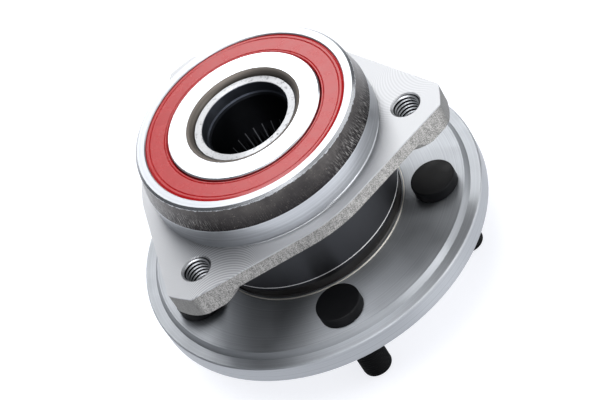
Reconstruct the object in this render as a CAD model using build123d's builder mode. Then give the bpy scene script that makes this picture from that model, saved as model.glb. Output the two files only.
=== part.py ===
"""Wheel hub bearing: a two-row ball bearing unit with a three-bolt knuckle flange and a five-stud hub.

Frame: Z is the bearing axis and points inboard, towards the steering knuckle.  Z = 0 is the
mounting face of the wheel flange, where the brake disc seats.  The unit stands on its stud tips.
All sizes are in millimetres.
"""

import os
from math import cos, pi, radians, sin, sqrt, tan

from build123d import *

os.makedirs("parts", exist_ok=True)

# ---------------------------------------------------------------- driving dimensions
wheel_stud_circle = 114.3          # pitch circle diameter of the five wheel studs
wheel_stud_count = 5
hub_rest_angle = 1.4               # turn of the hub against the knuckle flange at rest, degrees
knuckle_bolt_circle = 121.9        # pitch circle diameter of the three threaded holes
knuckle_bolt_count = 3
first_lobe_angle = 30.0            # direction of the first threaded hole, degrees from +X

ball_diameter = 11.112             # 7/16 inch bearing balls
balls_per_row = 15
pitch_radius = 33.9                # ball centres to the bearing axis
contact_angle = 36.0
ball_clearance = 0.02              # between a ball and its raceway
mid_plane = 47.5                   # height of the plane half way between the two rows
row_offset = 13.0                  # ball centres to the mid plane

knuckle_face = 54.7                # face of the triangular flange that bolts to the knuckle
barrel_radius = 43.6               # outer ring on the wheel side of its flange
outer_ring_outboard_end = 18.7
outer_ring_inboard_end = 76.4
pilot_radius = 50.0                # locates the unit in the knuckle
wheel_flange_radius = 76.0
wheel_flange_thickness = 10.8
spindle_radius = 22.4              # seat of the two inner rings
spindle_end = 74.9
wheel_pilot_radius = 35.7          # centres the brake disc and the wheel
stud_length = 28.5                 # stud outboard of the mounting face
stud_radius = 6.35                 # half inch studs
stud_knurl_radius = 6.75           # pressed into the flange
spline_teeth = 27                  # inner spline for the drive shaft

press_gap = 0.01                   # pressed joints are drawn with this radial gap
ball_radius = ball_diameter / 2
stud_circle_radius = wheel_stud_circle / 2
bolt_circle_radius = knuckle_bolt_circle / 2
row_sides = {"inboard": 1, "outboard": -1}

# ---------------------------------------------------------------- raceway geometry
# Each raceway is an arc a little larger than the ball.  Its centre is moved off the ball's
# centre along the contact line, so that ball and groove meet at the contact angle.
groove_radius = 0.52 * ball_diameter
groove_shift = groove_radius - ball_radius - ball_clearance
shift_radial = groove_shift * cos(radians(contact_angle))
shift_axial = groove_shift * sin(radians(contact_angle))
inner_groove = (pitch_radius + shift_radial, row_offset - shift_axial)
outer_groove = (pitch_radius - shift_radial, row_offset + shift_axial)


def groove_reach(centre, radius):
    """Half width of a raceway groove where it meets a cylinder of the given radius."""
    return sqrt(groove_radius**2 - (centre[0] - radius) ** 2)


def at_row(side, radius, offset):
    """Section point at a radius and a distance from the mid plane, on one side of it."""
    return (radius, mid_plane + side * offset)


# ---------------------------------------------------------------- outer ring
# One forging: barrel, triangular knuckle flange and knuckle pilot.  Both raceways are ground
# straight into its bore, and each end is counterbored for a seal.
flange_waist_radius = 55.3         # the three long sides are tangent to this circle
flange_corner_radius = 75.5        # the lobe ends are turned about the bearing axis
side_normal_angle = 47.3           # from a lobe's centre line to the normal of its side
lobe_corner_fillet = 1.0
plate_back = 48.0                  # wheel side of the flange between the lobes
boss_back = 43.3                   # wheel side of the flange at the threaded holes
boss_root_radius = 17.2
boss_rim_radius = 15.4
boss_rim_height = 1.1              # the rim of each boss is bevelled
boss_draft = 26.5                  # forging draft of the lobe bosses, degrees
boss_rim_bevel = 42.0
boss_arm_start = 30.0
bolt_hole_radius = 6.0             # M12
bolt_hole_mouth = 0.5
forging_fillet = 1.2

face_edge_radius = 46.9            # flat of the inboard end face
lead_in_radius = 47.9              # small end of the tapered lead-in
lead_in_start = 75.5
lead_in_end = 64.9
pilot_groove_radius = 49.3         # relief groove against the flange, square at its inboard side
pilot_groove_top = 56.1
pilot_root_fillet = 0.8
barrel_end_chamfer = 0.5

outer_shoulder_radius = 35.2       # high shoulder between the two rows
outer_lock_radius = 39.2           # low shoulder that keeps the balls in
seal_bore = {"inboard": 43.4, "outboard": 41.0}
seal_seat = {"inboard": 69.4, "outboard": 25.7}
seal_bore_chamfer = 0.4

high_dz = outer_groove[1] - groove_reach(outer_groove, outer_shoulder_radius)
lock_dz = outer_groove[1] + groove_reach(outer_groove, outer_lock_radius)
outer_groove_bottom = outer_groove[0] + groove_radius
apex_radius = flange_waist_radius / cos(radians(side_normal_angle))
tangent_x = flange_waist_radius * cos(radians(side_normal_angle))
tangent_y = flange_waist_radius * sin(radians(side_normal_angle))
ring_ends = {"inboard": outer_ring_inboard_end, "outboard": outer_ring_outboard_end}
boss_arm_length = bolt_circle_radius - boss_arm_start
boss_arm_centre = boss_arm_start + boss_arm_length / 2
boss_rim = boss_back + boss_rim_height

with BuildPart() as outer_ring:
    # forging blank: a round plate, and a drafted boss from the barrel out to each threaded hole
    with BuildSketch(Plane.XY.offset(plate_back)):
        Circle(apex_radius)
    extrude(amount=knuckle_face - plate_back)
    boss_stages = (
        (plate_back, boss_rim, boss_root_radius, boss_draft),
        (boss_rim, boss_back, boss_rim_radius, boss_rim_bevel),
    )
    for start, end, radius, slope in boss_stages:
        with BuildSketch(Plane.XY.offset(start)):
            with PolarLocations(bolt_circle_radius, knuckle_bolt_count, start_angle=first_lobe_angle):
                Circle(radius)
            with PolarLocations(boss_arm_centre, knuckle_bolt_count, start_angle=first_lobe_angle):
                Rectangle(boss_arm_length, 2 * radius)
        extrude(amount=end - start, taper=slope)
    with BuildSketch(Plane.XY.offset(outer_ring_outboard_end)):
        Circle(barrel_radius)
    extrude(amount=plate_back - outer_ring_outboard_end)
    chamfer(outer_ring.faces().sort_by(Axis.Z)[0].edges(), length=barrel_end_chamfer)

    # forging radii where the bosses and the barrel rise out of the plate
    plate_edges = outer_ring.edges().filter_by_position(Axis.Z, plate_back - 0.01, plate_back + 0.01)
    fillet(plate_edges.sort_by(SortBy.LENGTH)[:-1], radius=forging_fillet)

    # trimmed outline: straight sides tangent to the waist circle, lobe ends turned about the axis
    with BuildSketch(Plane.XY.offset(outer_ring_outboard_end)) as trim_outline:
        Circle(flange_waist_radius)
        with PolarLocations(0, knuckle_bolt_count, start_angle=first_lobe_angle):
            Polygon(
                (0, 0), (tangent_x, -tangent_y), (apex_radius, 0), (tangent_x, tangent_y), align=None
            )
        Circle(flange_corner_radius, mode=Mode.INTERSECT)
        lobe_corners = trim_outline.vertices().filter_by(
            lambda v: sqrt(v.X**2 + v.Y**2) > flange_corner_radius - 0.5
        )
        fillet(lobe_corners, radius=lobe_corner_fillet)
    extrude(amount=knuckle_face - outer_ring_outboard_end, mode=Mode.INTERSECT)

    # machined pilot: relief groove against the flange, cylinder, tapered lead-in and end face
    with BuildSketch(Plane.XZ):
        with BuildLine():
            Polyline(
                (pilot_groove_radius, knuckle_face + pilot_root_fillet),
                (pilot_groove_radius, pilot_groove_top),
                (pilot_radius, pilot_groove_top),
                (pilot_radius, lead_in_end),
                (lead_in_radius, lead_in_start),
                (face_edge_radius, outer_ring_inboard_end),
                (0, outer_ring_inboard_end),
                (0, knuckle_face),
                (pilot_groove_radius + pilot_root_fillet, knuckle_face),
            )
            RadiusArc(
                (pilot_groove_radius + pilot_root_fillet, knuckle_face),
                (pilot_groove_radius, knuckle_face + pilot_root_fillet),
                pilot_root_fillet,
            )
        make_face()
    revolve(axis=Axis.Z)

    # ground bore: seal counterbores at the ends, two raceways and the shoulder between them
    with BuildSketch(Plane.XZ):
        with BuildLine():
            for name, side in row_sides.items():
                end = side * (ring_ends[name] - mid_plane)
                seat = side * (seal_seat[name] - mid_plane)
                Polyline(
                    at_row(side, 0, end),
                    at_row(side, seal_bore[name] + seal_bore_chamfer, end),
                    at_row(side, seal_bore[name], end - seal_bore_chamfer),
                    at_row(side, seal_bore[name], seat),
                    at_row(side, outer_lock_radius, seat),
                    at_row(side, outer_lock_radius, lock_dz),
                )
                ThreePointArc(
                    at_row(side, outer_lock_radius, lock_dz),
                    at_row(side, outer_groove_bottom, outer_groove[1]),
                    at_row(side, outer_shoulder_radius, high_dz),
                )
            Line(
                at_row(1, outer_shoulder_radius, high_dz), at_row(-1, outer_shoulder_radius, high_dz)
            )
            Line((0, outer_ring_outboard_end), (0, outer_ring_inboard_end))
        make_face()
    revolve(axis=Axis.Z, mode=Mode.SUBTRACT)

    # threaded holes, drawn at the thread's outer diameter, with a small countersink
    with Locations((0, 0, knuckle_face)):
        with PolarLocations(bolt_circle_radius, knuckle_bolt_count, start_angle=first_lobe_angle):
            Hole(radius=bolt_hole_radius)
    mouths = (
        outer_ring.edges()
        .filter_by_position(Axis.Z, knuckle_face - 0.01, knuckle_face + 0.01)
        .filter_by(lambda e: e.geom_type == GeomType.CIRCLE and e.radius < boss_root_radius)
        .filter_by(lambda e: e.radius > lobe_corner_fillet + 1)
    )
    chamfer(mouths, length=bolt_hole_mouth)

outer_ring.part.label = "outer_ring"
export_step(outer_ring.part, "parts/outer_ring.step")

# ---------------------------------------------------------------- inner rings
# Two equal rings pressed on the spindle face to face.  Each has a high shoulder on its outer
# side, so the two rows carry load back to back.
inner_ring_width = 29.4
inner_shoulder_radius = 33.2
inner_low_radius = 28.9            # ground low so the row can be assembled
inner_ring_corner = 2.4            # corner radius that clears the drive shaft's shoulder
inner_ring_edge = 0.5

inner_low_dz = inner_groove[1] - groove_reach(inner_groove, inner_low_radius)
inner_high_dz = inner_groove[1] + groove_reach(inner_groove, inner_shoulder_radius)
inner_groove_bottom = inner_groove[0] - groove_radius

for name, side in row_sides.items():
    with BuildPart() as inner_ring:
        with BuildSketch(Plane.XZ):
            with BuildLine():
                Polyline(
                    at_row(side, inner_low_radius, inner_low_dz),
                    at_row(side, inner_low_radius, inner_ring_edge),
                    at_row(side, inner_low_radius - inner_ring_edge, press_gap),
                    at_row(side, spindle_radius + inner_ring_edge, press_gap),
                    at_row(side, spindle_radius, inner_ring_edge),
                    at_row(side, spindle_radius, inner_ring_width - inner_ring_corner),
                )
                RadiusArc(
                    at_row(side, spindle_radius, inner_ring_width - inner_ring_corner),
                    at_row(side, spindle_radius + inner_ring_corner, inner_ring_width),
                    side * inner_ring_corner,
                )
                Polyline(
                    at_row(side, spindle_radius + inner_ring_corner, inner_ring_width),
                    at_row(side, inner_shoulder_radius - inner_ring_edge, inner_ring_width),
                    at_row(side, inner_shoulder_radius, inner_ring_width - inner_ring_edge),
                    at_row(side, inner_shoulder_radius, inner_high_dz),
                )
                ThreePointArc(
                    at_row(side, inner_shoulder_radius, inner_high_dz),
                    at_row(side, inner_groove_bottom, inner_groove[1]),
                    at_row(side, inner_low_radius, inner_low_dz),
                )
            make_face()
        revolve(axis=Axis.Z)
    inner_ring.part.label = f"{name}_inner_ring"
    export_step(inner_ring.part, f"parts/{name}_inner_ring.step")

# ---------------------------------------------------------------- balls and cages
# Moulded crown cages: a back ring on the seal side, spherical pockets open towards the middle,
# and a pair of claws that snap round each ball.
pocket_clearance = 0.2
claw_gap_width = 1.6
claw_gap_depth = 2.6
claw_tip_dz = 9.6
cage_back_dz = 20.6
cage_section = [
    (31.6, claw_tip_dz),
    (37.0, claw_tip_dz),
    (38.2, 13.2),
    (38.4, cage_back_dz),
    (34.1, cage_back_dz),
    (33.9, 17.8),
    (31.6, 15.8),
]
ball_pitch_angle = 360 / balls_per_row

for name, side in row_sides.items():
    row_height = mid_plane + side * row_offset
    with BuildPart() as cage:
        with BuildSketch(Plane.XZ):
            Polygon(*[at_row(side, radius, offset) for radius, offset in cage_section], align=None)
        revolve(axis=Axis.Z)
        with Locations((0, 0, row_height)):
            with PolarLocations(pitch_radius, balls_per_row):
                Sphere(ball_radius + pocket_clearance, mode=Mode.SUBTRACT)
        claw_floor = mid_plane + side * (claw_tip_dz + claw_gap_depth)
        with BuildSketch(Plane.XY.offset(claw_floor)):
            with PolarLocations(pitch_radius, balls_per_row, start_angle=ball_pitch_angle / 2):
                Rectangle(4 * ball_radius, claw_gap_width)
        extrude(amount=-side * 2 * claw_gap_depth, mode=Mode.SUBTRACT)
    cage.part.label = f"{name}_cage"
    export_step(cage.part, f"parts/{name}_cage.step")

    for index in range(balls_per_row):
        with BuildPart() as ball:
            with Locations((0, 0, row_height)):
                with PolarLocations(pitch_radius, 1, start_angle=index * ball_pitch_angle):
                    Sphere(ball_radius)
        ball.part.label = f"{name}_ball_{index + 1:02d}"
        export_step(ball.part, f"parts/{name}_ball_{index + 1:02d}.step")

# ---------------------------------------------------------------- seals
# Each seal is a pressed steel case with rubber moulded on.  The lips run with a light gap.
inboard_seal_outer = seal_bore["inboard"] - press_gap
outboard_seal_outer = seal_bore["outboard"] - press_gap
inboard_case_section = [
    (42.9, 69.9),
    (42.9, 75.2),
    (36.0, 75.2),
    (36.0, 74.2),
    (41.9, 74.2),
    (41.9, 69.9),
]
inboard_rubber_section = [
    (inboard_seal_outer, 69.9),
    (inboard_seal_outer, 75.6),
    (42.4, 76.1),                  # sloped outer rim
    (41.6, 76.1),
    (41.3, 75.85),                 # ring groove
    (41.0, 76.1),
    (35.05, 76.1),
    (34.75, 75.8),                 # groove behind the dust lip
    (34.45, 76.1),
    (34.05, 76.1),
    (33.7, 75.7),
    (33.45, 74.9),
    (33.45, 74.3),
    (34.3, 74.0),
    (33.4, 71.9),                  # main lip
    (33.4, 71.4),
    (33.8, 71.2),
    (35.3, 73.3),
    (36.0, 74.2),
    (36.0, 75.2),
    (42.9, 75.2),
    (42.9, 69.9),
]
outboard_case_section = [
    (outboard_seal_outer, 25.4),
    (outboard_seal_outer, 18.68),
    (43.1, 18.68),                 # flange against the outer ring's end
    (43.1, 17.0),
    (40.0, 17.0),
    (40.0, 24.4),
    (36.5, 24.4),
    (36.5, 25.4),
]
outboard_rubber_section = [
    (42.4, 17.0),
    (42.4, 16.0),
    (41.9, 12.2),
    (42.3, 11.65),                 # axial lip, close to the hub's face
    (41.7, 11.65),
    (41.3, 12.3),
    (41.0, 15.8),
    (39.4, 16.6),
    (39.2, 17.4),
    (39.2, 23.6),
    (36.4, 23.6),
    (35.2, 22.6),
    (33.9, 20.5),
    (33.4, 20.3),                  # outer radial lip
    (33.4, 21.0),
    (34.2, 23.2),
    (34.2, 24.4),
    (33.4, 25.6),                  # inner radial lip, holds the grease
    (33.4, 26.1),
    (34.0, 26.2),
    (35.3, 25.4),
    (36.5, 25.4),
    (36.5, 24.4),
    (40.0, 24.4),
    (40.0, 17.0),
]
seal_sections = {
    "inboard_seal_case": inboard_case_section,
    "inboard_seal_rubber": inboard_rubber_section,
    "outboard_seal_case": outboard_case_section,
    "outboard_seal_rubber": outboard_rubber_section,
}

for name, section in seal_sections.items():
    with BuildPart() as seal_piece:
        with BuildSketch(Plane.XZ):
            Polygon(*section, align=None)
        revolve(axis=Axis.Z)
    seal_piece.part.label = name
    export_step(seal_piece.part, f"parts/{name}.step")

# ---------------------------------------------------------------- wheel hub
# One forging: wheel flange, wheel pilot with the nut recess, and the hollow spindle.  The
# spindle bore is smooth at the inboard end and splined for the rest of its length.
flange_shelf_height = 8.5          # the flange's edge is turned lower than its face
flange_shelf_radius = 71.2
flange_face_radius = 69.4
flange_edge_break = 0.5
seal_land_radius = 43.2            # raised land that the axial seal lip runs on
seal_land_height = 11.3
seal_land_edge = 0.25
hub_shoulder_radius = 31.5         # the outboard inner ring seats against it
hub_shoulder_fillet = 3.5
hub_shoulder_height = mid_plane - inner_ring_width
undercut_depth = 0.5
undercut_width = 1.5

wheel_pilot_height = 12.0
wheel_pilot_chamfer = 1.5
pilot_relief_radius = 38.0
pilot_relief_depth = 0.6
nut_recess_radius = 27.0
nut_recess_mouth = 29.0
nut_seat_height = 3.0
nut_recess_fillet = 2.0

shank_counterbore_radius = 18.66
shank_counterbore_depth = 5.0
shank_bore_radius = 17.4
spline_top = 53.0
spline_minor_radius = 15.2
spline_major_radius = 16.6
spline_pitch_radius = (spline_minor_radius + spline_major_radius) / 2
spline_pressure_angle = 30.0
spline_lead = spline_major_radius - spline_minor_radius + 0.3
spline_entry = 6.0                 # long cone that leads the drive shaft into the spline
bore_edge_break = 0.3
spindle_edge_run = 0.5             # steep lead-in that guides the inner rings on
spindle_edge_depth = 1.6

seat_radius = spindle_radius - press_gap
undercut_radius = seat_radius - undercut_depth
shank_step_height = spindle_end - shank_counterbore_depth
shank_step_run = shank_counterbore_radius - shank_bore_radius
spline_lead_radius = spline_minor_radius + spline_lead
shoulder_corner = hub_shoulder_radius + hub_shoulder_fillet

with BuildPart() as wheel_hub:
    with BuildSketch(Plane.XZ):
        with BuildLine():
            Polyline(
                (shoulder_corner, seal_land_height),
                (seal_land_radius - seal_land_edge, seal_land_height),
                (seal_land_radius, seal_land_height - seal_land_edge),
                (seal_land_radius, wheel_flange_thickness),
                (flange_face_radius, wheel_flange_thickness),
                (flange_shelf_radius, flange_shelf_height),
                (wheel_flange_radius - flange_edge_break, flange_shelf_height),
                (wheel_flange_radius, flange_shelf_height - flange_edge_break),
                (wheel_flange_radius, flange_edge_break),
                (wheel_flange_radius - flange_edge_break, 0),
                (pilot_relief_radius, 0),
                (pilot_relief_radius, pilot_relief_depth),
                (wheel_pilot_radius, pilot_relief_depth),
                (wheel_pilot_radius, wheel_pilot_chamfer - wheel_pilot_height),
                (wheel_pilot_radius - wheel_pilot_chamfer, -wheel_pilot_height),
                (nut_recess_mouth, -wheel_pilot_height),
                (nut_recess_radius, -wheel_pilot_height / 2),
                (nut_recess_radius, nut_seat_height - nut_recess_fillet),
            )
            RadiusArc(
                (nut_recess_radius, nut_seat_height - nut_recess_fillet),
                (nut_recess_radius - nut_recess_fillet, nut_seat_height),
                -nut_recess_fillet,
            )
            Polyline(
                (nut_recess_radius - nut_recess_fillet, nut_seat_height),
                (spline_lead_radius, nut_seat_height),
                (spline_minor_radius, nut_seat_height + spline_lead),
                (spline_minor_radius, spline_top - spline_entry),
                (shank_bore_radius, spline_top),
                (shank_bore_radius, shank_step_height - shank_step_run),
                (shank_counterbore_radius, shank_step_height),
                (shank_counterbore_radius, spindle_end - bore_edge_break),
                (shank_counterbore_radius + bore_edge_break, spindle_end),
                (seat_radius - spindle_edge_run, spindle_end),
                (seat_radius, spindle_end - spindle_edge_depth),
                (seat_radius, hub_shoulder_height + undercut_width),
                (undercut_radius, hub_shoulder_height + undercut_width - undercut_depth),
                (undercut_radius, hub_shoulder_height),
                (hub_shoulder_radius, hub_shoulder_height),
                (hub_shoulder_radius, seal_land_height + hub_shoulder_fillet),
            )
            RadiusArc(
                (hub_shoulder_radius, seal_land_height + hub_shoulder_fillet),
                (shoulder_corner, seal_land_height),
                hub_shoulder_fillet,
            )
        make_face()
    revolve(axis=Axis.Z)

    # pressed studs pass through the flange
    with BuildSketch(Plane.XY):
        with PolarLocations(stud_circle_radius, wheel_stud_count, start_angle=hub_rest_angle):
            Circle(stud_knurl_radius + press_gap)
    extrude(amount=wheel_flange_thickness, mode=Mode.SUBTRACT)

    # broached spline: straight-sided spaces between the teeth
    space_at_pitch = pi * spline_pitch_radius / spline_teeth
    flank_slope = tan(radians(spline_pressure_angle))
    space_top = space_at_pitch / 2 - (spline_major_radius - spline_pitch_radius) * flank_slope
    space_base_radius = spline_minor_radius - 0.2
    space_base = space_at_pitch / 2 + (spline_pitch_radius - space_base_radius) * flank_slope
    with BuildSketch(Plane.XY.offset(nut_seat_height)):
        with PolarLocations(0, spline_teeth):
            Polygon(
                (space_base_radius, -space_base),
                (spline_major_radius, -space_top),
                (spline_major_radius, space_top),
                (space_base_radius, space_base),
                align=None,
            )
    extrude(amount=spline_top - nut_seat_height, mode=Mode.SUBTRACT)

wheel_hub.part.label = "wheel_hub"
export_step(wheel_hub.part, "parts/wheel_hub.step")

# ---------------------------------------------------------------- wheel studs
# Cold-headed studs pressed through the flange from behind, so the head sits on its inboard face.
head_radius = 9.5
head_height = 5.1
head_edge_fillet = 1.2
tip_chamfer = 1.5

for index in range(wheel_stud_count):
    with BuildPart() as wheel_stud:
        stud_angle = hub_rest_angle + index * 360 / wheel_stud_count
        stud_place = (
            stud_circle_radius * cos(radians(stud_angle)),
            stud_circle_radius * sin(radians(stud_angle)),
        )
        with BuildSketch(Plane.XY.offset(wheel_flange_thickness)):
            with Locations(stud_place):
                Circle(head_radius)
        extrude(amount=head_height)
        fillet(wheel_stud.faces().sort_by(Axis.Z)[-1].edges(), radius=head_edge_fillet)
        with BuildSketch(Plane.XY):
            with Locations(stud_place):
                Circle(stud_knurl_radius)
        extrude(amount=wheel_flange_thickness)
        with BuildSketch(Plane.XY.offset(-stud_length)):
            with Locations(stud_place):
                Circle(stud_radius)
        extrude(amount=stud_length)
        chamfer(wheel_stud.faces().sort_by(Axis.Z)[0].edges(), length=tip_chamfer)
    wheel_stud.part.label = f"wheel_stud_{index + 1}"
    export_step(wheel_stud.part, f"parts/wheel_stud_{index + 1}.step")
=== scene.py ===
"""Looks of a wheel hub bearing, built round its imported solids, in metres.

Z is the bearing axis and points inboard, towards the steering knuckle.  Z = 0 is the wheel flange's
mounting face, and the unit stands on the tips of its five studs.
"""

import math

import bpy
import numpy as np
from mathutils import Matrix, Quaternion, Vector


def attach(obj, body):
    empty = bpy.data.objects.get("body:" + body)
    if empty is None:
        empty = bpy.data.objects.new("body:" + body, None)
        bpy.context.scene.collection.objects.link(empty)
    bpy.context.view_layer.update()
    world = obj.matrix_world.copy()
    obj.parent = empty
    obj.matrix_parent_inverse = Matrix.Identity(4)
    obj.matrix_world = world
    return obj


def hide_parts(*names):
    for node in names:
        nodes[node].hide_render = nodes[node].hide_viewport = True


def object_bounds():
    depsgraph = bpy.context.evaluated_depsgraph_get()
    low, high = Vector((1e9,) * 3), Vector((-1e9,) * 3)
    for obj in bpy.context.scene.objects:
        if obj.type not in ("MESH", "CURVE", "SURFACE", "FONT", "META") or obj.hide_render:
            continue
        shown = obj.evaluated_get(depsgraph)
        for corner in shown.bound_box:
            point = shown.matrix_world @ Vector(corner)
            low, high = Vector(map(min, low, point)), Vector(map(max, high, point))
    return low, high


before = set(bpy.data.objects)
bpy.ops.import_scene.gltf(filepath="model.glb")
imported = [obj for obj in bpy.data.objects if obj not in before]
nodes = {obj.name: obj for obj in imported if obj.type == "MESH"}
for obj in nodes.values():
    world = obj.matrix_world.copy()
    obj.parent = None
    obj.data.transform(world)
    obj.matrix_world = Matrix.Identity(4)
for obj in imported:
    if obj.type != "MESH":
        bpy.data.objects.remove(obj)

cad_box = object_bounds()

# ---------------------------------------------------------------- camera
# A long lens a metre away, looking down on the inboard end.  The camera is rolled, so that the
# bearing axis leans to the left.
camera_place = Vector((0.1046, 0.7514, 0.7215))
view_azimuth = math.radians(82.01)     # of the camera, counterclockwise from +X
view_elevation = math.radians(42.72)
view_roll = math.radians(-32.67)

back = Vector((
    math.cos(view_elevation) * math.cos(view_azimuth),
    math.cos(view_elevation) * math.sin(view_azimuth),
    math.sin(view_elevation),
))
camera = bpy.data.objects.new("camera", bpy.data.cameras.new("camera"))
camera.data.sensor_width = 36.0
camera.data.lens = 150.0
camera.data.clip_start = 0.05
camera.data.clip_end = 50.0
camera.rotation_mode = "QUATERNION"
camera.location = camera_place
camera.rotation_quaternion = (-back).to_track_quat("-Z", "Y") @ Quaternion((0, 0, 1), view_roll)
bpy.context.scene.collection.objects.link(camera)
bpy.context.scene.camera = camera
bpy.context.scene.view_settings.view_transform = "Standard"

# ---------------------------------------------------------------- studio
# A plain white table under a bright room, and seven soft boxes.  The level faces mirror the box
# behind, the chamfers and rims mirror those at the side, and the one on top lights the table.


def linear(hex_colour):
    """Linear RGBA of an sRGB hex colour: each channel is taken through the sRGB curve."""
    channels = [int(hex_colour[i:i + 2], 16) / 255 for i in (1, 3, 5)]
    curve = [c / 12.92 if c <= 0.04045 else ((c + 0.055) / 1.055) ** 2.4 for c in channels]
    return (*curve, 1.0)


def add(tree, kind, *values, named=None, **settings):
    """Adds a node with its settings and links.

    Values go to its open sockets in order, and named ones by name.  A node or a socket among them
    is linked, and the rest is set.
    """
    node = tree.nodes.new("ShaderNode" + kind)
    for setting, value in settings.items():
        setattr(node, setting, value)
    open_sockets = [socket for socket in node.inputs if socket.enabled]
    pairs = [*zip(open_sockets, values)]
    pairs += [(node.inputs[name], value) for name, value in (named or {}).items()]
    for socket, value in pairs:
        if isinstance(value, bpy.types.Node):
            value = next(output for output in value.outputs if output.enabled)
        if isinstance(value, bpy.types.NodeSocket):
            tree.links.new(value, socket)
        else:
            socket.default_value = value
    return node


def new_finish(name, **sockets):
    """A material with one Principled shader, whose constant sockets are set here by name."""
    material = bpy.data.materials.new(name)
    material.use_nodes = True
    shader = material.node_tree.nodes["Principled BSDF"]
    for socket, value in sockets.items():
        shader.inputs[socket.replace("_", " ")].default_value = value
    return material, material.node_tree, shader


table_height = cad_box[0].z
table_half = 6.0
table_mesh = bpy.data.meshes.new("table_top")
table_corners = [(-table_half, -table_half), (table_half, -table_half),
                 (table_half, table_half), (-table_half, table_half)]
table_mesh.from_pydata([(x, y, table_height) for x, y in table_corners], [], [(0, 1, 2, 3)])
table = bpy.data.objects.new("table_top", table_mesh)
bpy.context.scene.collection.objects.link(table)

# matt laminate, which glows evenly: it stays white, and only close shadows show on it
white_laminate, _, _ = new_finish(
    "white_laminate", Base_Color=linear("#A0A2A6"), Roughness=0.7, Specular_IOR_Level=0.1,
    Emission_Color=linear("#F5F6FA"), Emission_Strength=0.84
)
table.data.materials.append(white_laminate)

room = bpy.data.worlds.new("white_room")
room.use_nodes = True
room.node_tree.nodes["Background"].inputs["Color"].default_value = linear("#E9EDF3")
room.node_tree.nodes["Background"].inputs["Strength"].default_value = 0.22
bpy.context.scene.world = room

soft_boxes = {
    # name: (direction it stands in, distance, width, depth, power in watts, colour)
    "back_box": ((-0.268, -0.625, 0.781), 1.5, 0.7, 1.4, 11.0, "#FFFFFF"),
    "dim_back_box": ((0.14, -0.80, 0.56), 1.5, 0.6, 1.4, 1.8, "#F8FAFF"),
    "front_box": ((-0.15, 0.70, 0.95), 1.6, 1.4, 1.1, 2.0, "#FFFFFF"),
    "right_box": ((-0.82, 0.40, 0.44), 1.6, 1.2, 1.2, 7.0, "#FFFFFF"),
    "side_box": ((-0.92, -0.05, 0.38), 1.6, 0.5, 0.5, 1.5, "#FFFFFF"),
    "low_box": ((-0.50, 0.84, 0.16), 1.6, 1.0, 0.5, 8.5, "#FFFFFF"),
    "top_box": ((0.1, 0.15, 1.0), 1.8, 1.2, 1.2, 22.0, "#FBFCFF"),
}
for name, (direction, distance, width, depth, power, colour) in soft_boxes.items():
    box_light = bpy.data.lights.new(name, "AREA")
    box_light.shape = "RECTANGLE"
    box_light.size = width
    box_light.size_y = depth
    box_light.energy = power
    box_light.color = linear(colour)[:3]
    box = bpy.data.objects.new(name, box_light)
    box.location = Vector(direction).normalized() * distance
    box.rotation_mode = "QUATERNION"
    box.rotation_quaternion = Vector(direction).to_track_quat("Z", "Y")
    bpy.context.scene.collection.objects.link(box)

# ---------------------------------------------------------------- outer ring
# Forged bearing steel, turned and ground where it seats and left as forged on the flange's sides
# and back.  The barrel and the tapered end keep the black skin of the heat treatment.
knuckle_face_heights = (0.0541, 0.0548)   # the flange's faced side, with its edge
collar_foot_height = 0.05475              # all above it is turned
plate_back_height = 0.0480
lobe_end_radii = (0.0735, 0.0754)         # the lobes' ends grow smooth over this stretch
ground_bore_radius = 0.04345              # all inside it is ground
barrel_outer_radius = 0.0440
barrel_highlight_heights = (0.01920, 0.01965)  # painted highlight on the chamfer at the barrel's end
taper_inner_radius = 0.0472               # the lead-in taper lies outside it
taper_foot_height, taper_top_height = 0.0651, 0.0752
taper_raggedness = 0.00035                # of its upper edge, up and down
end_chamfer_radius = 0.04693              # the end face's chamfer lies outside it
tint_heights = (0.0655, 0.0755)           # the heat tint pales over this stretch

streak_size = 1 / 800                     # forging grain of 1.25 mm, four times as long
speckle_size = 1 / 2400                   # grit of 0.4 mm between the streaks
patch_size = 1 / 160                      # mottle of 6 mm
jag_size = 1 / 700                        # 1.4 mm
turning_feed = 0.0009
fine_turning_feed = 0.00022

jaw_angle = math.radians(133)             # of the first of three chuck jaws
chatter_heights = (0.0742, 0.0690)        # it grows downwards over this stretch
chatter_slope = math.radians(82)
chatter_radius = 0.05                     # the turn's arc length is taken here
chatter_length, chatter_width = 1 / 330, 1 / 2300     # strokes of 3 mm by 0.4 mm

lobe_angle = math.radians(30)             # of the first of three lobes
lobe_step = 2 * math.pi / 3
cutter_radius, cutter_aside, cutter_feed = 0.016, 0.0195, 0.0013
feed_direction, cross_direction = (0.5, 0.866, 0.0), (-0.866, 0.5, 0.0)
fresh_stretch = (-0.03, 0.03)             # along X, from worn marks to fresh ones


def turned_coordinates(tree):
    """Object coordinates of a turned piece: the point, its radius, height, their sum and its angle.

    The sum grows across the tool's path both on faces and on cylinders.
    """
    point = add(tree, "TexCoord").outputs["Object"]
    split = add(tree, "SeparateXYZ", point)
    flat = add(tree, "VectorMath", point, (1.0, 1.0, 0.0), operation="MULTIPLY")
    radius = add(tree, "VectorMath", flat, operation="LENGTH")
    height = split.outputs["Z"]
    across = add(tree, "Math", radius, height, operation="ADD")
    angle = add(tree, "Math", split.outputs["Y"], split.outputs["X"], operation="ARCTAN2")
    return point, radius, height, across, angle


def between(tree, value, low, high, edge=0.00003):
    """1 where value lies between low and high, else 0: a rising ramp times a falling one."""
    rise = add(tree, "MapRange", value, low - edge, low + edge, 0.0, 1.0)
    fall = add(tree, "MapRange", value, high - edge, high + edge, 1.0, 0.0)
    return add(tree, "Math", rise, fall, operation="MULTIPLY")


def lay(tree, ground, *coats, **settings):
    """Lays coats over a colour or a value, the last on top.  A coat is a zone and what it shows."""
    for zone, coat in coats:
        ground = add(tree, "Mix", zone, ground, coat, **settings)
    return ground


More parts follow.
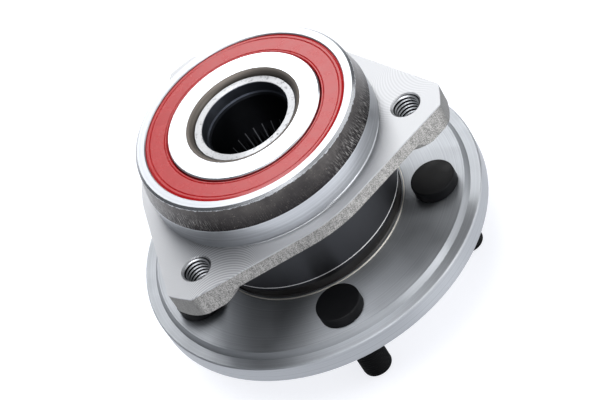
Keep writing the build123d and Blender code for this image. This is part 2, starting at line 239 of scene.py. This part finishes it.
def hoop_tangent(tree, point):
    """Direction of the tool's path: the Z axis crossed with the point, turned with the piece."""
    round_axis = add(tree, "VectorMath", (0.0, 0.0, 1.0), point, operation="CROSS_PRODUCT")
    return add(
        tree, "VectorTransform", round_axis,
        vector_type="VECTOR", convert_from="OBJECT", convert_to="WORLD",
    )


def tool_marks(tree, across, pitch):
    """Rings of a turning tool: one-dimensional noise along the sum of radius and height.

    Real feeds are 0.1 to 0.3 mm and grinding lines finer still.  These are as coarse as they need
    to be to show.
    """
    return add(
        tree, "TexNoise", noise_dimensions="1D",
        named={"W": across, "Scale": 1 / pitch, "Detail": 2.0, "Roughness": 0.6},
    )


def feed(tree, shader, **sources):
    """Links each node's open output to the shader's socket of that name."""
    for socket, node in sources.items():
        output = next(output for output in node.outputs if output.enabled)
        tree.links.new(output, shader.inputs[socket.replace("_", " ")])


def outer_ring_steel():
    """Zones by radius and height: ground, turned, black or forged skin, each with its grain."""
    material, tree, shader = new_finish(
        "forged_and_ground_steel", Metallic=1.0, Anisotropic=0.6, Anisotropic_Rotation=0.25
    )
    point, radius, height, across, angle = turned_coordinates(tree)
    stretched = add(tree, "VectorMath", point, (1.0, 1.0, 0.25), operation="MULTIPLY")
    streaks = add(
        tree, "TexNoise", named={"Vector": stretched, "Scale": 1 / streak_size, "Detail": 4.0}
    )
    speckle = add(
        tree, "TexNoise",
        named={"Vector": point, "Scale": 1 / speckle_size, "Detail": 3.0, "Roughness": 0.6},
    )
    grain = add(tree, "Mix", 0.75, streaks, speckle)
    patches = add(
        tree, "TexNoise", named={"Vector": point, "Scale": 1 / patch_size, "Detail": 4.0}
    )
    rings = tool_marks(tree, across, turning_feed)
    fine_rings = tool_marks(tree, across, fine_turning_feed)

    # the taper and the end face's chamfer meet at a ragged edge
    jag = add(tree, "TexNoise", named={"Vector": point, "Scale": 1 / jag_size, "Detail": 3.0})
    jag = add(tree, "MapRange", jag, 0.3, 0.7, -taper_raggedness, taper_raggedness)
    ragged_height = add(tree, "Math", height, jag, operation="ADD")
    outside_taper = add(tree, "Math", radius, taper_inner_radius, operation="GREATER_THAN")
    above_foot = add(tree, "Math", height, taper_foot_height, operation="GREATER_THAN")
    below_chamfer = add(tree, "Math", ragged_height, taper_top_height, operation="LESS_THAN")
    taper = add(tree, "Math", above_foot, below_chamfer, operation="MULTIPLY")
    taper = add(tree, "Math", taper, outside_taper, operation="MULTIPLY")
    above_taper = add(tree, "Math", ragged_height, taper_top_height, operation="GREATER_THAN")
    off_end_face = add(tree, "Math", radius, end_chamfer_radius, operation="GREATER_THAN")
    end_chamfer = add(tree, "Math", above_taper, off_end_face, operation="MULTIPLY")

    # the machined faces, the barrel and its end, and the ends of the lobes
    knuckle_face = between(tree, height, *knuckle_face_heights)
    collar = add(tree, "Math", height, collar_foot_height, operation="GREATER_THAN")
    bore = add(tree, "Math", radius, ground_bore_radius, operation="LESS_THAN")
    machined = add(tree, "Math", knuckle_face, collar, operation="MAXIMUM")
    machined = add(tree, "Math", machined, bore, operation="MAXIMUM")
    near_barrel = add(tree, "Math", radius, barrel_outer_radius, operation="LESS_THAN")
    outside_bore = add(tree, "Math", radius, ground_bore_radius, operation="GREATER_THAN")
    barrel = add(tree, "Math", near_barrel, outside_bore, operation="MULTIPLY")
    below_plate = add(tree, "Math", height, plate_back_height, operation="LESS_THAN")
    barrel = add(tree, "Math", barrel, below_plate, operation="MULTIPLY")
    painted_barrel_highlight = between(tree, height, *barrel_highlight_heights)
    lobe_end = add(tree, "MapRange", radius, *lobe_end_radii, 0.0, 1.0)

    # forged skin, turned steel, and the heat-tinted skin that pales towards the end face
    rough_share = add(tree, "MapRange", grain, 0.40, 0.60, 0.0, 1.0)
    smooth_end = add(tree, "MapRange", lobe_end, 0.0, 1.0, 1.0, 0.25)
    rough_share = add(tree, "Math", rough_share, smooth_end, operation="MULTIPLY")
    forged = add(tree, "Mix", rough_share, linear("#6F6F6D"), linear("#B9B7B4"), data_type="RGBA")
    turned = add(tree, "Mix", rings, linear("#A4A7AB"), linear("#CDD0D4"), data_type="RGBA")
    up_the_taper = add(tree, "MapRange", height, *tint_heights, 0.0, 1.0)
    tinted = add(tree, "Mix", up_the_taper, linear("#282627"), linear("#5C5957"), data_type="RGBA")
    cloudy = add(tree, "MapRange", patches, 0.35, 0.65, 0.0, 0.5)
    specks = add(tree, "MapRange", grain, 0.62, 0.67, 0.0, 0.6)

    # chatter of the tool on the taper where the three chuck jaws held the ring: short slanted
    # strokes, stretched noise over the arc length and the height
    around = add(tree, "Math", angle, chatter_radius, operation="MULTIPLY")
    along_round = add(tree, "Math", around, math.cos(chatter_slope), operation="MULTIPLY")
    along_up = add(tree, "Math", height, -math.sin(chatter_slope), operation="MULTIPLY")
    along_stroke = add(tree, "Math", along_round, along_up, operation="ADD")
    aside_round = add(tree, "Math", around, math.sin(chatter_slope), operation="MULTIPLY")
    aside_up = add(tree, "Math", height, math.cos(chatter_slope), operation="MULTIPLY")
    aside_stroke = add(tree, "Math", aside_round, aside_up, operation="ADD")
    stroke_place = add(tree, "CombineXYZ", along_stroke, aside_stroke)
    stroke_stretch = (1 / chatter_length, 1 / chatter_width, 1.0)
    stroke_place = add(tree, "VectorMath", stroke_place, stroke_stretch, operation="MULTIPLY")
    strokes = add(
        tree, "TexNoise",
        named={"Vector": stroke_place, "Scale": 1.0, "Detail": 3.0, "Roughness": 0.6},
    )
    jaw_turn = add(tree, "Math", angle, -jaw_angle, operation="ADD")
    jaw_turn = add(tree, "Math", jaw_turn, 3.0, operation="MULTIPLY")
    jaw = add(tree, "Math", jaw_turn, operation="COSINE")
    jaw_share = add(tree, "MapRange", jaw, -0.2, 0.8, 0.08, 1.0)
    low_share = add(tree, "MapRange", height, *chatter_heights, 0.0, 1.0)
    chattered = add(tree, "Math", jaw_share, low_share, operation="MULTIPLY")
    bright_stroke = add(tree, "MapRange", strokes, 0.52, 0.64, 0.0, 0.75)
    bright_stroke = add(tree, "Math", bright_stroke, chattered, operation="MULTIPLY")
    dark_stroke = add(tree, "MapRange", strokes, 0.46, 0.38, 0.0, 0.8)
    dark_stroke = add(tree, "Math", dark_stroke, chattered, operation="MULTIPLY")
    tinted = lay(
        tree, tinted,
        (cloudy, linear("#302E30")), (specks, linear("#B9B2A6")),
        (bright_stroke, linear("#A5A3A0")), (dark_stroke, linear("#151211")),
        data_type="RGBA",
    )

    # sweep marks of the facing cutter: equal arcs a feed apart, beside each threaded hole.  The
    # angle is folded into the first lobe, and an arc is where the place along the feed, plus the
    # root of the cutter's radius squared less the place across it squared, stays the same
    lobe_turn = add(tree, "Math", angle, -lobe_angle, operation="ADD")
    lobe_share = add(tree, "Math", lobe_turn, 1 / lobe_step, operation="MULTIPLY")
    lobe_number = add(tree, "Math", lobe_share, operation="ROUND")
    lobe_start = add(tree, "Math", lobe_number, lobe_step, operation="MULTIPLY")
    folded = add(tree, "Math", angle, lobe_start, operation="SUBTRACT")
    folded_cosine = add(tree, "Math", folded, operation="COSINE")
    folded_sine = add(tree, "Math", folded, operation="SINE")
    folded_x = add(tree, "Math", folded_cosine, radius, operation="MULTIPLY")
    folded_y = add(tree, "Math", folded_sine, radius, operation="MULTIPLY")
    folded_place = add(tree, "CombineXYZ", folded_x, folded_y)
    along_feed = add(tree, "VectorMath", folded_place, feed_direction, operation="DOT_PRODUCT")
    across_feed = add(tree, "VectorMath", folded_place, cross_direction, operation="DOT_PRODUCT")
    off_centre = add(tree, "Math", across_feed, cutter_aside, operation="ADD")
    off_centre = add(tree, "Math", off_centre, off_centre, operation="MULTIPLY")
    bulge = add(tree, "Math", cutter_radius ** 2, off_centre, operation="SUBTRACT")
    bulge = add(tree, "Math", bulge, 0.0, operation="MAXIMUM")
    bulge = add(tree, "Math", bulge, operation="SQRT")
    sweep_place = add(tree, "Math", along_feed, bulge, operation="ADD")
    sweep_turn = add(tree, "Math", sweep_place, 2 * math.pi / cutter_feed, operation="MULTIPLY")
    sweep = add(tree, "Math", sweep_turn, operation="SINE")
    sweep_fade = add(tree, "MapRange", bulge, 0.0, 0.75 * cutter_radius, 0.0, 0.4)
    sideways = add(tree, "SeparateXYZ", point)
    fresh = add(tree, "MapRange", sideways, *fresh_stretch, 0.35, 1.0)
    sweep = add(tree, "Math", sweep, sweep_fade, operation="MULTIPLY")
    sweep = add(tree, "Math", sweep, fresh, operation="MULTIPLY")
    sweep = add(tree, "Math", sweep, 0.5, operation="ADD")
    faced = add(tree, "Mix", sweep, linear("#97989B"), linear("#C4C5C7"), data_type="RGBA")
    turned = add(tree, "Mix", knuckle_face, turned, faced, data_type="RGBA")

    # painted highlight: a near-white line on the chamfer at the barrel's end
    barrel_skin_and_highlight = add(tree, "Mix", painted_barrel_highlight, linear("#444548"), linear("#EEEEEE"), data_type="RGBA")
    colour = lay(
        tree, forged,
        (barrel, barrel_skin_and_highlight), (machined, turned), (end_chamfer, linear("#A9ABAE")), (taper, tinted),
        data_type="RGBA",
    )
    gloss = lay(
        tree, 0.52,
        (barrel, 0.42), (painted_barrel_highlight, 0.65), (machined, 0.34), (knuckle_face, 0.45),
        (taper, 0.30), (end_chamfer, 0.30),
    )
    wander = add(tree, "MapRange", fine_rings, 0.3, 0.7, -0.04, 0.04)
    gloss = add(tree, "Math", gloss, wander, operation="ADD")

    # relief: deep grain on the forged skin, shallow rings where a tool has been
    smooth_part = add(tree, "Math", machined, barrel, operation="MAXIMUM")
    smooth_part = add(tree, "Math", smooth_part, lobe_end, operation="MAXIMUM")
    forged_part = add(tree, "Math", 1.0, smooth_part, operation="SUBTRACT")
    forged_relief = add(tree, "Math", grain, forged_part, operation="MULTIPLY")
    ring_relief = add(tree, "Math", rings, 0.10, operation="MULTIPLY")
    ring_relief = add(tree, "Math", ring_relief, machined, operation="MULTIPLY")
    relief = add(tree, "Math", forged_relief, ring_relief, operation="ADD")
    bump = add(tree, "Bump", named={"Height": relief, "Strength": 0.9, "Distance": 0.0001})
    feed(
        tree, shader,
        Base_Color=colour, Roughness=gloss, Tangent=hoop_tangent(tree, point), Normal=bump,
    )
    return material


def dress(material, *names):
    """Gives the CAD nodes this material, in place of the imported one."""
    for name in names:
        nodes[name].data.materials.clear()
        nodes[name].data.materials.append(material)


dress(outer_ring_steel(), "outer_ring")

# ---------------------------------------------------------------- threads of the flange holes
# Metric threads cut in the three holes of the flange.  Each is a thin sleeve in its plain hole,
# with the helix on its inner wall.
bolt_circle_radius = 0.06095
bolt_directions = [math.radians(a) for a in (30, 150, 270)]
hole_radius = 0.00599
thread_top = 0.05418
thread_bottom = 0.0438
thread_pitch = 0.00175
thread_depth = 0.00095
thread_run_out = 0.0007         # the thread fades over this at each end
flank_steepness, flank_offset = 1.3, 0.15
sleeve_wall = 0.00012
sleeve_columns, sleeve_rows = 128, 150
tear_size = 1 / 900             # 1.1 mm
crease_angle = math.radians(32)


def grid_mesh(name, points, closed_rows):
    """A mesh of quads over rows by columns of points.  Columns wrap round.

    Rows wrap too for a sleeve.  Otherwise each end closes in a fan on its middle point.
    """
    rows, columns, _ = points.shape
    index = np.arange(rows * columns).reshape(rows, columns)
    below = np.roll(index, -1, axis=0) if closed_rows else index[1:]
    above = index if closed_rows else index[:-1]
    corners = [above, below, np.roll(below, -1, 1), np.roll(above, -1, 1)]
    quads = np.stack(corners, -1).reshape(-1, 4)
    vertices = points.reshape(-1, 3)
    faces = quads.tolist()
    if not closed_rows:
        vertices = np.vstack([vertices, points[0].mean(0), points[-1].mean(0)])
        middle = np.full(columns, rows * columns)
        faces += np.stack([middle, index[0], np.roll(index[0], -1)], -1).tolist()
        faces += np.stack([middle + 1, np.roll(index[-1], -1), index[-1]], -1).tolist()
    mesh = bpy.data.meshes.new(name)
    mesh.from_pydata(vertices.tolist(), [], faces)
    mesh.shade_smooth()
    mesh.set_sharp_from_angle(angle=crease_angle)
    piece = bpy.data.objects.new(name, mesh)
    bpy.context.scene.collection.objects.link(piece)
    return piece


def thread_profile(phase):
    """Share of the full depth over one pitch: straight flanks with a flat crest and a flat root."""
    return np.clip(np.abs(2 * (phase % 1.0) - 1) * flank_steepness - flank_offset, 0, 1)


def threaded_sleeve(name, centre):
    """Outer wall straight down, inner wall up again: its radius falls by the thread profile of
    height over pitch less turns, faded out at both ends.

    How far each point stands towards a crest is kept as an attribute, for the colour.
    """
    turn = np.linspace(0, 2 * np.pi, sleeve_columns, endpoint=False)
    climb = np.linspace(thread_bottom, thread_top, sleeve_rows)
    phase = climb[:, None] / thread_pitch - turn[None, :] / (2 * np.pi)
    end = np.minimum(climb - thread_bottom, thread_top - climb)
    fade = np.clip(end / thread_run_out, 0, 1)[:, None]
    inner = hole_radius - sleeve_wall - thread_depth * thread_profile(phase) * fade
    walls = np.array([thread_top, thread_bottom])
    radius = np.vstack([np.full((2, turn.size), hole_radius), inner])
    height = np.concatenate([walls, climb])[:, None] + 0 * turn[None, :]
    points = np.stack(
        [centre[0] + radius * np.cos(turn), centre[1] + radius * np.sin(turn), height], -1
    )
    sleeve = grid_mesh(name, points, closed_rows=True)
    crest = np.vstack([np.zeros((2, turn.size)), thread_profile(phase)])
    stored = sleeve.data.attributes.new("crest", "FLOAT", "POINT")
    stored.data.foreach_set("value", crest.ravel())
    return sleeve


def cut_thread_steel():
    """Cut steel: black in the thread's roots, bright on its crests and flanks, by the crest
    attribute.
    """
    material, tree, shader = new_finish("cut_thread_steel", Metallic=1.0, Roughness=0.34)
    crest = add(tree, "Attribute", attribute_type="GEOMETRY", attribute_name="crest").outputs["Fac"]
    share = add(tree, "MapRange", crest, 0.45, 0.95, 0.0, 1.0)
    colour = add(tree, "Mix", share, linear("#131314"), linear("#B4B6B9"), data_type="RGBA")
    point = add(tree, "TexCoord").outputs["Object"]
    tears = add(tree, "TexNoise", named={"Vector": point, "Scale": 1 / tear_size, "Detail": 2.0})
    bump = add(tree, "Bump", named={"Height": tears, "Strength": 0.1, "Distance": 0.00002})
    feed(tree, shader, Base_Color=colour, Normal=bump)
    return material


thread_steel = cut_thread_steel()
for number, direction in enumerate(bolt_directions, 1):
    hole_centre = (
        bolt_circle_radius * math.cos(direction), bolt_circle_radius * math.sin(direction)
    )
    sleeve = threaded_sleeve(f"bolt_thread_{number}", hole_centre)
    sleeve.data.materials.append(thread_steel)
    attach(sleeve, "knuckle_side")

# ---------------------------------------------------------------- inner rings
# Through-hardened bearing steel, ground all over.  The end faces mirror the room, with very fine
# grinding lines round the axis.
corner_radius = 0.02485         # inside it lies the bore's rounded corner
grinding_pitch, corner_feed = 0.0003, 0.0005
smear_size = 1 / 90             # 11 mm


def ground_steel(name, light, dark, roughness, pitch):
    """Ground or turned bright steel: fine rings in colour, gloss and relief round the axis."""
    material, tree, shader = new_finish(
        name, Metallic=1.0, Anisotropic=0.55, Anisotropic_Rotation=0.25
    )
    point, _, _, across, _ = turned_coordinates(tree)
    rings = tool_marks(tree, across, pitch)
    smear = add(tree, "TexNoise", named={"Vector": point, "Scale": 1 / smear_size, "Detail": 3.0})
    colour = add(tree, "Mix", rings, linear(dark), linear(light), data_type="RGBA")
    gloss = add(tree, "MapRange", smear, 0.3, 0.7, roughness - 0.04, roughness + 0.05)
    bump = add(tree, "Bump", named={"Height": rings, "Strength": 0.12, "Distance": 0.00002})
    feed(
        tree, shader,
        Base_Color=colour, Roughness=gloss, Tangent=hoop_tangent(tree, point), Normal=bump,
    )
    return material


def inner_ring_steel():
    """Ground steel, but for the bore's corner, which is only turned and keeps its heat tint."""
    material = ground_steel("ground_ring_steel", "#E2E4E8", "#CDD0D5", 0.24, grinding_pitch)
    tree = material.node_tree
    shader = tree.nodes["Principled BSDF"]
    _, radius, _, across, _ = turned_coordinates(tree)
    corner = add(tree, "Math", radius, corner_radius, operation="LESS_THAN")
    coarse = tool_marks(tree, across, corner_feed)
    tint = add(tree, "Mix", coarse, linear("#4D4844"), linear("#7D7771"), data_type="RGBA")
    ground_colour = shader.inputs["Base Color"].links[0].from_socket
    ground_gloss = shader.inputs["Roughness"].links[0].from_socket
    colour = add(tree, "Mix", corner, ground_colour, tint, data_type="RGBA")
    gloss = add(tree, "Mix", corner, ground_gloss, 0.55)
    feed(tree, shader, Base_Color=colour, Roughness=gloss)
    return material


dress(inner_ring_steel(), "inboard_inner_ring", "outboard_inner_ring")

# ---------------------------------------------------------------- balls and cages
# Lapped chrome steel balls, which mirror everything, in crown cages moulded from glass-filled
# nylon.  They are sealed in, and show only when the unit is taken apart.
lapping_pitch = 0.0012
mottle_size = 1 / 220           # 4.5 mm
nylon_grain, nylon_grain_depth = 0.0003, 0.00003
ball_names = [name for name in nodes if "_ball_" in name]
dress(ground_steel("lapped_ball_steel", "#F4F5F8", "#E9EBEF", 0.07, lapping_pitch), *ball_names)


def moulded(name, colour, mottle, roughness, grain, depth, shine=0.5):
    """Moulded plastic or rubber: slight mottle in colour and gloss, and the mould's fine grain."""
    material, tree, shader = new_finish(name, Metallic=0.0, Specular_IOR_Level=shine)
    point = add(tree, "TexCoord").outputs["Object"]
    cloud = add(tree, "TexNoise", named={"Vector": point, "Scale": 1 / mottle_size, "Detail": 4.0})
    pores = add(tree, "TexNoise", named={"Vector": point, "Scale": 1 / grain, "Detail": 2.0})
    tint = add(tree, "Mix", cloud, linear(mottle), linear(colour), data_type="RGBA")
    gloss = add(tree, "MapRange", cloud, 0.3, 0.7, roughness - 0.04, roughness + 0.06)
    bump = add(tree, "Bump", named={"Height": pores, "Strength": 0.25, "Distance": depth})
    feed(tree, shader, Base_Color=tint, Roughness=gloss, Normal=bump)
    return material


dress(
    moulded("glass_filled_nylon", "#26282B", "#1C1D20", 0.45, nylon_grain, nylon_grain_depth),
    "inboard_cage", "outboard_cage",
)

# ---------------------------------------------------------------- seals
# The inboard seal is red nitrile rubber moulded on a pressed steel disc, glossy from its mould.
# The outboard seal is the same in black, with an axial lip that runs on the hub's land.  Its case
# stands out under the barrel and is coloured dark.
pressing_pitch = 0.0008
rubber_grain, rubber_grain_depth = 0.00025, 0.00002
dress(
    ground_steel("pressed_sheet_steel", "#A8ABB0", "#8B8E93", 0.35, pressing_pitch),
    "inboard_seal_case",
)
dress(
    ground_steel("dark_sheet_steel", "#47474A", "#333335", 0.42, pressing_pitch),
    "outboard_seal_case",
)
dress(
    moulded(
        "red_nitrile_rubber", "#AC050C", "#9C0409", 0.24, rubber_grain, rubber_grain_depth,
        shine=0.62,
    ),
    "inboard_seal_rubber",
)
dress(
    moulded("black_nitrile_rubber", "#1B1715", "#141110", 0.34, rubber_grain, rubber_grain_depth),
    "outboard_seal_rubber",
)

# ---------------------------------------------------------------- wheel hub
# Forged medium-carbon steel, finish-turned on the flange so finely that it mirrors what stands on
# it.  The spline is broached.  It and the bore are painted dark as shade, and the teeth's
# crests carry painted glints.
spindle_end_height = 0.0742             # above it lies the faced and nicked end
bore_mouth_height = 0.0748
spindle_bore_radius = 0.0188
counterbore_radius = 0.0181             # lighter wall outside it, steps inside painted darker as shade
spline_radius = 0.01735
spline_teeth = 27
rim_wall_radius = 0.0757
rim_edge_radius, rim_edge_height = 0.07545, 0.0080
seal_land_radii = (0.04285, 0.0435)     # edge of the land that the seal lip runs on, where a painted highlight goes
seal_land_height = 0.01085
hub_feed, hub_fine_feed = 0.0006, 0.00015
hub_smear_size = 1 / 120                # 8 mm
nick_size = 1 / 700                     # 1.4 mm
crest_glint_span = (-0.90, -0.995)          # of the teeth's wave, from root towards crest, where painted glints go


def hub_steel():
    """Zones by radius and height: mirror flange, painted highlights on the rim's edge and the
    land's edge, dull spindle end, and a bore painted dark as shade.
    """
    material, tree, shader = new_finish(
        "finish_turned_steel", Metallic=1.0, Anisotropic=0.85, Anisotropic_Rotation=0.25
    )
    point, radius, height, across, angle = turned_coordinates(tree)
    rings = tool_marks(tree, across, hub_feed)
    fine_rings = tool_marks(tree, across, hub_fine_feed)
    smear = add(
        tree, "TexNoise", named={"Vector": point, "Scale": 1 / hub_smear_size, "Detail": 4.0}
    )
    nicks = add(
        tree, "TexNoise",
        named={"Vector": point, "Scale": 1 / nick_size, "Detail": 5.0, "Roughness": 0.7},
    )

    spindle_end = add(tree, "Math", height, spindle_end_height, operation="GREATER_THAN")
    below_mouth = add(tree, "Math", height, bore_mouth_height, operation="LESS_THAN")
    inside = add(tree, "Math", radius, spindle_bore_radius, operation="LESS_THAN")
    inside = add(tree, "Math", inside, below_mouth, operation="MULTIPLY")
    counterbore = add(tree, "Math", radius, counterbore_radius, operation="GREATER_THAN")
    teeth = add(tree, "Math", radius, spline_radius, operation="LESS_THAN")
    rim_wall = add(tree, "Math", radius, rim_wall_radius, operation="GREATER_THAN")
    # painted highlight: the rim's outer edge takes the bright end of the turned colour
    painted_rim_highlight = add(tree, "Math", height, rim_edge_height, operation="GREATER_THAN")
    past_shelf = add(tree, "Math", radius, rim_edge_radius, operation="GREATER_THAN")
    painted_rim_highlight = add(tree, "Math", painted_rim_highlight, past_shelf, operation="MULTIPLY")
    # painted highlight: a near-white line on the edge of the seal land
    painted_land_highlight = between(tree, radius, *seal_land_radii)
    on_land = add(tree, "Math", height, seal_land_height, operation="GREATER_THAN")
    painted_land_highlight = add(tree, "Math", painted_land_highlight, on_land, operation="MULTIPLY")

    # bright turned steel, nicked end, bore painted dark as shade, and painted glints on the teeth's
    # crests
    turned = add(tree, "Mix", rings, linear("#93969A"), linear("#B4B7BB"), data_type="RGBA")
    whole = add(tree, "MapRange", nicks, 0.34, 0.45, 0.0, 1.0)
    dull = add(tree, "Mix", whole, linear("#6E6E70"), linear("#AEAFB1"), data_type="RGBA")
    # painted shade: the bore is near-black deep down, lighter on its wall near the mouth
    painted_bore_shade = add(tree, "Mix", smear, linear("#141518"), linear("#222428"), data_type="RGBA")
    bore_mouth_wall = add(tree, "Mix", smear, linear("#31343A"), linear("#585D67"), data_type="RGBA")
    painted_bore_shade = add(tree, "Mix", counterbore, painted_bore_shade, bore_mouth_wall, data_type="RGBA")
    # painted glints: light stripes on the teeth's crests over dark roots, which are painted shade
    tooth_turn = add(tree, "Math", angle, float(spline_teeth), operation="MULTIPLY")
    tooth_wave = add(tree, "Math", tooth_turn, operation="COSINE")
    crest = add(tree, "MapRange", tooth_wave, *crest_glint_span, 0.0, 1.0)
    spline_shade_and_glints = add(tree, "Mix", crest, linear("#1A1B1E"), linear("#75777B"), data_type="RGBA")
    colour = lay(
        tree, turned,
        (painted_rim_highlight, linear("#B4B7BB")), (painted_land_highlight, linear("#EFEBE2")),
        (spindle_end, dull), (inside, painted_bore_shade), (teeth, spline_shade_and_glints),
        data_type="RGBA",
    )
    gloss = add(tree, "MapRange", smear, 0.3, 0.7, 0.41, 0.47)
    gloss = lay(
        tree, gloss, (spindle_end, 0.38), (rim_wall, 0.36), (inside, 0.44), (painted_land_highlight, 0.65)
    )

    nick_relief = add(tree, "Math", nicks, spindle_end, operation="MULTIPLY")
    nick_relief = add(tree, "Math", nick_relief, 0.4, operation="MULTIPLY")
    ring_relief = add(tree, "Math", fine_rings, 0.12, operation="MULTIPLY")
    relief = add(tree, "Math", nick_relief, ring_relief, operation="ADD")
    bump = add(tree, "Bump", named={"Height": relief, "Strength": 0.4, "Distance": 0.00006})
    feed(
        tree, shader,
        Base_Color=colour, Roughness=gloss, Tangent=hoop_tangent(tree, point), Normal=bump,
    )
    return material


dress(hub_steel(), "wheel_hub")

# ---------------------------------------------------------------- wheel studs
# Cold-headed studs with rolled threads, black from their phosphate bath.  Each replaces its plain
# solid, and adds the knurl that holds it in the flange and the thread.
stud_circle_radius = 0.05715
stud_rest_angle = math.radians(1.4)
stud_count = 5
head_top = 0.0159
head_radius = 0.0095
head_middle_radius = 0.0038     # first ring of points on the flat crown
head_round = 0.0006
head_chamfer = 0.0003
flange_face_height = 0.0108
knurl_heights = (0.0106, 0.0004)
knurl_radius = 0.00675
knurl_teeth = 40
knurl_depth = 0.0002
shank_radius = 0.00635
stud_tip = -0.0285
stud_thread_pitch = 0.00127
stud_thread_depth = 0.00072
stud_thread_start = -0.0030
tip_chamfer = 0.0015
stud_columns, stud_rows = 80, 280
crown_rows, knurl_rows = 8, 4
crystal_size = 0.0004           # real crystals are a tenth of this, too fine to show
rub_size = 1 / 260              # 4 mm


def threaded_stud(name, centre):
    """Radius as a function of height and turn, from the head's middle to the tip: a flat crown
    with a rounded edge, a knurl that ripples round, and a shank with the thread profile cut in.
    """
    turn = np.linspace(0, 2 * np.pi, stud_columns, endpoint=False)
    crown = np.linspace(0, np.pi / 2, crown_rows)
    head_r = np.concatenate([
        [head_middle_radius], head_radius - head_round * (1 - np.sin(crown)),
        [head_radius, head_radius - head_chamfer, knurl_radius],
    ])
    head_z = np.concatenate([
        [head_top], head_top - head_round * (1 - np.cos(crown)),
        [flange_face_height + head_chamfer, flange_face_height, flange_face_height],
    ])
    knurl_z = np.linspace(*knurl_heights, knurl_rows)
    shank_z = np.linspace(0.0, stud_tip, stud_rows)
    heights = np.concatenate([head_z, knurl_z, shank_z])
    ripple = knurl_radius - knurl_depth * (0.5 + 0.5 * np.cos(knurl_teeth * turn))
    phase = shank_z[:, None] / stud_thread_pitch - turn[None, :] / (2 * np.pi)
    cut = np.clip((stud_thread_start - shank_z) / stud_thread_pitch, 0, 1)[:, None]
    plain = np.minimum(shank_radius, shank_radius - tip_chamfer + (shank_z - stud_tip))[:, None]
    shank_r = np.minimum(shank_radius - stud_thread_depth * cut * thread_profile(phase), plain)
    radius = np.vstack([
        head_r[:, None] + 0 * turn[None, :], np.tile(ripple, (knurl_z.size, 1)), shank_r
    ])
    points = np.stack([
        centre[0] + radius * np.cos(turn), centre[1] + radius * np.sin(turn),
        heights[:, None] + 0 * turn[None, :],
    ], -1)
    return grid_mesh(name, points, closed_rows=False)


def black_phosphate():
    """Crystalline black coating, matt, with patches that handling has rubbed smoother."""
    material, tree, shader = new_finish("black_phosphate", Metallic=0.0, Specular_IOR_Level=0.13)
    point = add(tree, "TexCoord").outputs["Object"]
    crystals = add(
        tree, "TexNoise", named={"Vector": point, "Scale": 1 / crystal_size, "Detail": 3.0}
    )
    rub = add(tree, "TexNoise", named={"Vector": point, "Scale": 1 / rub_size, "Detail": 5.0})
    colour = add(tree, "Mix", crystals, linear("#070708"), linear("#131416"), data_type="RGBA")
    gloss = add(tree, "MapRange", rub, 0.3, 0.7, 0.34, 0.5)
    bump = add(tree, "Bump", named={"Height": crystals, "Strength": 0.4, "Distance": 0.00003})
    feed(tree, shader, Base_Color=colour, Roughness=gloss, Normal=bump)
    return material


stud_black = black_phosphate()
for number in range(stud_count):
    stud_angle = stud_rest_angle + 2 * math.pi * number / stud_count
    stud_centre = (
        stud_circle_radius * math.cos(stud_angle), stud_circle_radius * math.sin(stud_angle)
    )
    stud = threaded_stud(f"threaded_stud_{number + 1}", stud_centre)
    stud.data.materials.append(stud_black)
    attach(stud, "hub")
    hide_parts(f"wheel_stud_{number + 1}")
